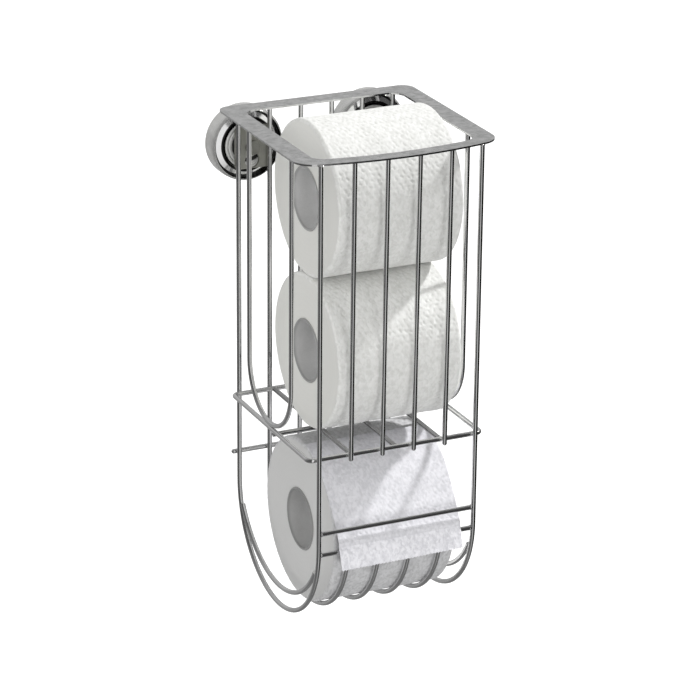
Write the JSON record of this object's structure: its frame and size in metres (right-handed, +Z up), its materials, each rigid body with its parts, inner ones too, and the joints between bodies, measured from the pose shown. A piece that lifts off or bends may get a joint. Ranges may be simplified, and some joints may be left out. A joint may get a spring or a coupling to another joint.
{
  "type": "toilet paper stand",
  "caption": "Wall-hung wire rack for toilet paper: a basket for spare rolls under a flat top ring, and a cradle with tear bars for the roll in use.",
  "frame": {"origin": "on the wall plane, midway between the two suction mounts, at the height of their centres", "axes": "+Z up, +Y into the wall, -Y into the room, +X to the right as seen from the room"},
  "size_m": [0.148, 0.1693, 0.3537],
  "materials": {
    "ring_chrome": "polished",
    "wire_chrome": "polished",
    "plate_chrome": "polished",
    "mount_chrome": "polished",
    "housing_plastic": "metallised",
    "plug_plastic": "moulded",
    "pad_rubber": "smooth",
    "roll_paper": "embossed",
    "core_cardboard": "plain"
  },
  "bodies": {
    "wall_mounts": {"left_suction_pad": "pad_rubber", "left_mount_housing": "housing_plastic", "left_hanger_post": "plate_chrome", "right_suction_pad": "pad_rubber", "right_mount_housing": "housing_plastic", "right_hanger_post": "plate_chrome"},
    "rack": {"top_ring": "ring_chrome", "left_hoop": "wire_chrome", "right_hoop": "wire_chrome", "back_wire_1": "wire_chrome", "back_wire_2": "wire_chrome", "back_wire_3": "wire_chrome", "back_wire_4": "wire_chrome", "front_wire_1": "wire_chrome", "front_wire_2": "wire_chrome", "front_wire_3": "wire_chrome", "front_wire_4": "wire_chrome", "left_side_guard": "wire_chrome", "right_side_guard": "wire_chrome", "floor_loop": "wire_chrome", "floor_bar_1": "wire_chrome", "floor_bar_2": "wire_chrome", "floor_bar_3": "wire_chrome", "floor_cross_bar": "wire_chrome", "back_bar": "wire_chrome", "upper_tear_bar": "wire_chrome", "lower_tear_bar": "wire_chrome", "left_roll_guard": "wire_chrome", "right_roll_guard": "wire_chrome", "left_hanger_plate": "plate_chrome", "right_hanger_plate": "plate_chrome", "loose_sheet": "roll_paper"},
    "left_twist": {"left_twist_ring": "mount_chrome"},
    "right_twist": {"right_twist_ring": "mount_chrome"},
    "left_plug": {"left_pad_plug": "plug_plastic"},
    "right_plug": {"right_pad_plug": "plug_plastic"},
    "used_roll": {"used_roll_paper": "roll_paper", "used_roll_core": "core_cardboard"},
    "middle_roll": {"middle_roll_paper": "roll_paper", "middle_roll_core": "core_cardboard"},
    "top_roll": {"top_roll_paper": "roll_paper", "top_roll_core": "core_cardboard"}
  },
  "joints": [
    {"name": "rack_lift", "type": "slide", "parent": "wall_mounts", "child": "rack", "axis": [0, 0, 1], "range_m": [0, 0.009]},
    {"name": "left_twist_turn", "type": "hinge", "parent": "wall_mounts", "child": "left_twist", "pos_m": [-0.0475, 0, 0], "axis": [0, 1, 0], "range_deg": [0, 90]},
    {"name": "left_plug_draw", "type": "slide", "parent": "wall_mounts", "child": "left_plug", "axis": [0, -1, 0], "range_m": [0, 0.002]},
    {"name": "right_twist_turn", "type": "hinge", "parent": "wall_mounts", "child": "right_twist", "pos_m": [0.0475, 0, 0], "axis": [0, 1, 0], "range_deg": [0, 90]},
    {"name": "right_plug_draw", "type": "slide", "parent": "wall_mounts", "child": "right_plug", "axis": [0, -1, 0], "range_m": [0, 0.002]},
    {"name": "used_roll_spin", "type": "hinge", "parent": "rack", "child": "used_roll", "pos_m": [0.00302, -0.0955, -0.25075], "axis": [1, 0, 0], "continuous": true},
    {"name": "middle_roll_lift", "type": "slide", "parent": "rack", "child": "middle_roll", "axis": [0, 0.0499, 0.9988], "range_m": [0, 0.215]},
    {"name": "top_roll_lift", "type": "slide", "parent": "middle_roll", "child": "top_roll", "axis": [0, 0.0499, 0.9988], "range_m": [0, 0.11]}
  ],
  "couplings": [
    {"joint": "left_plug_draw", "follows": "left_twist_turn", "m_per_rad": 0.001273},
    {"joint": "right_plug_draw", "follows": "right_twist_turn", "m_per_rad": 0.001273}
  ]
}
